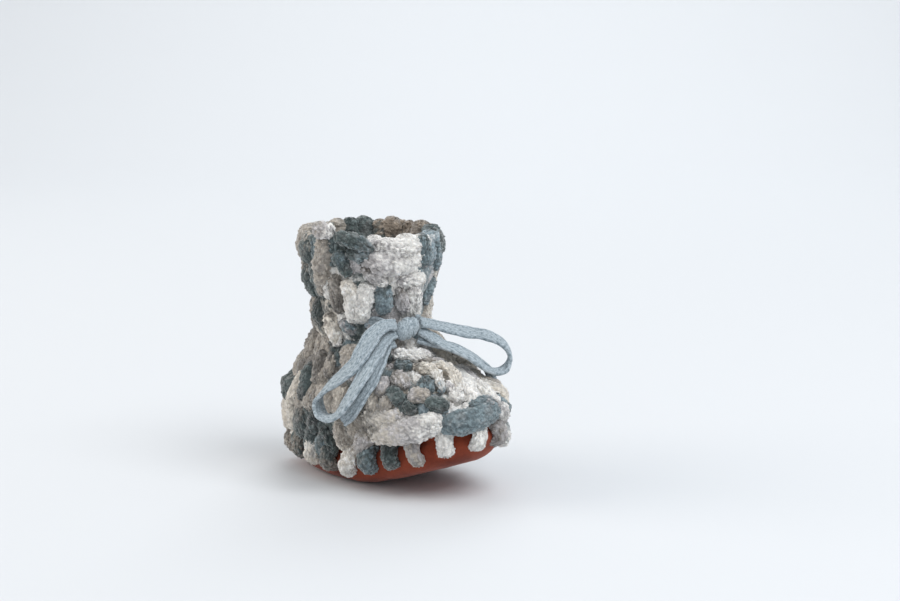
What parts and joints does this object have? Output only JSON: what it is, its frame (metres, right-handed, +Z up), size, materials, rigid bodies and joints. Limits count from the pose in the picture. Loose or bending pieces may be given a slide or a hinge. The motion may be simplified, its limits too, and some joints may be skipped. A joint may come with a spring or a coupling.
{
  "type": "baby bootie",
  "caption": "Chunky crocheted baby bootie with a cupped suede sole laced on with yarn and a flat drawstring tied in a bow at the ankle.",
  "frame": {"origin": "on the ground, under the middle of the bootie's length and width", "axes": "+X from the heel to the toe, +Y to the bootie's left, +Z up the leg"},
  "size_m": [0.1351, 0.0908, 0.1187],
  "materials": {
    "suede": "matte reddish-brown suede",
    "yarn_cream": "matte chenille pile",
    "yarn_greige": "matte chenille pile",
    "yarn_teal": "matte chenille pile",
    "cord_blue": "matte heathered jersey"
  },
  "bodies": {
    "foot": {"suede_sole": "suede", "lace_stitch_01": "yarn_cream", "lace_stitch_02": "yarn_greige", "lace_stitch_03": "yarn_teal", "lace_stitch_04": "yarn_cream", "lace_stitch_05": "yarn_greige", "lace_stitch_06": "yarn_teal", "lace_stitch_07": "yarn_cream", "lace_stitch_08": "yarn_greige", "lace_stitch_09": "yarn_teal", "lace_stitch_10": "yarn_cream", "lace_stitch_11": "yarn_greige", "lace_stitch_12": "yarn_teal", "lace_stitch_13": "yarn_cream", "lace_stitch_14": "yarn_greige", "lace_stitch_15": "yarn_teal", "lace_stitch_16": "yarn_cream", "lace_stitch_17": "yarn_greige", "lace_stitch_18": "yarn_teal", "lace_stitch_19": "yarn_cream", "lace_stitch_20": "yarn_greige", "lace_stitch_21": "yarn_teal", "lace_stitch_22": "yarn_cream", "foot_round_1": "yarn_cream", "foot_round_2": "yarn_greige", "instep_round_1": "yarn_teal", "instep_round_2": "yarn_cream", "waist_round": "yarn_greige", "tie_band": "cord_blue", "tie_knot": "cord_blue"},
    "leg": {"cuff_round": "yarn_teal", "collar_round": "yarn_cream"},
    "bow_left": {"bow_loop_left": "cord_blue", "tie_tail_left": "cord_blue"},
    "bow_right": {"bow_loop_right": "cord_blue", "tie_tail_right": "cord_blue"}
  },
  "joints": [
    {"name": "ankle_flex", "type": "hinge", "parent": "foot", "child": "leg", "pos_m": [-0.015, 0, 0.0745], "axis": [0, 1, 0], "range_deg": [-12, 8], "stiffness_Nm_per_rad": 0.06, "deforming": ["waist_round"]},
    {"name": "bow_left_lift", "type": "hinge", "parent": "foot", "child": "bow_left", "pos_m": [0.0201, -0.0165, 0.0781], "axis": [-0.7825, 0.1663, 0.6], "range_deg": [0, 40]},
    {"name": "bow_right_lift", "type": "hinge", "parent": "foot", "child": "bow_right", "pos_m": [0.0228, -0.0041, 0.0781], "axis": [0.7825, -0.1663, -0.6], "range_deg": [0, 40]}
  ]
}
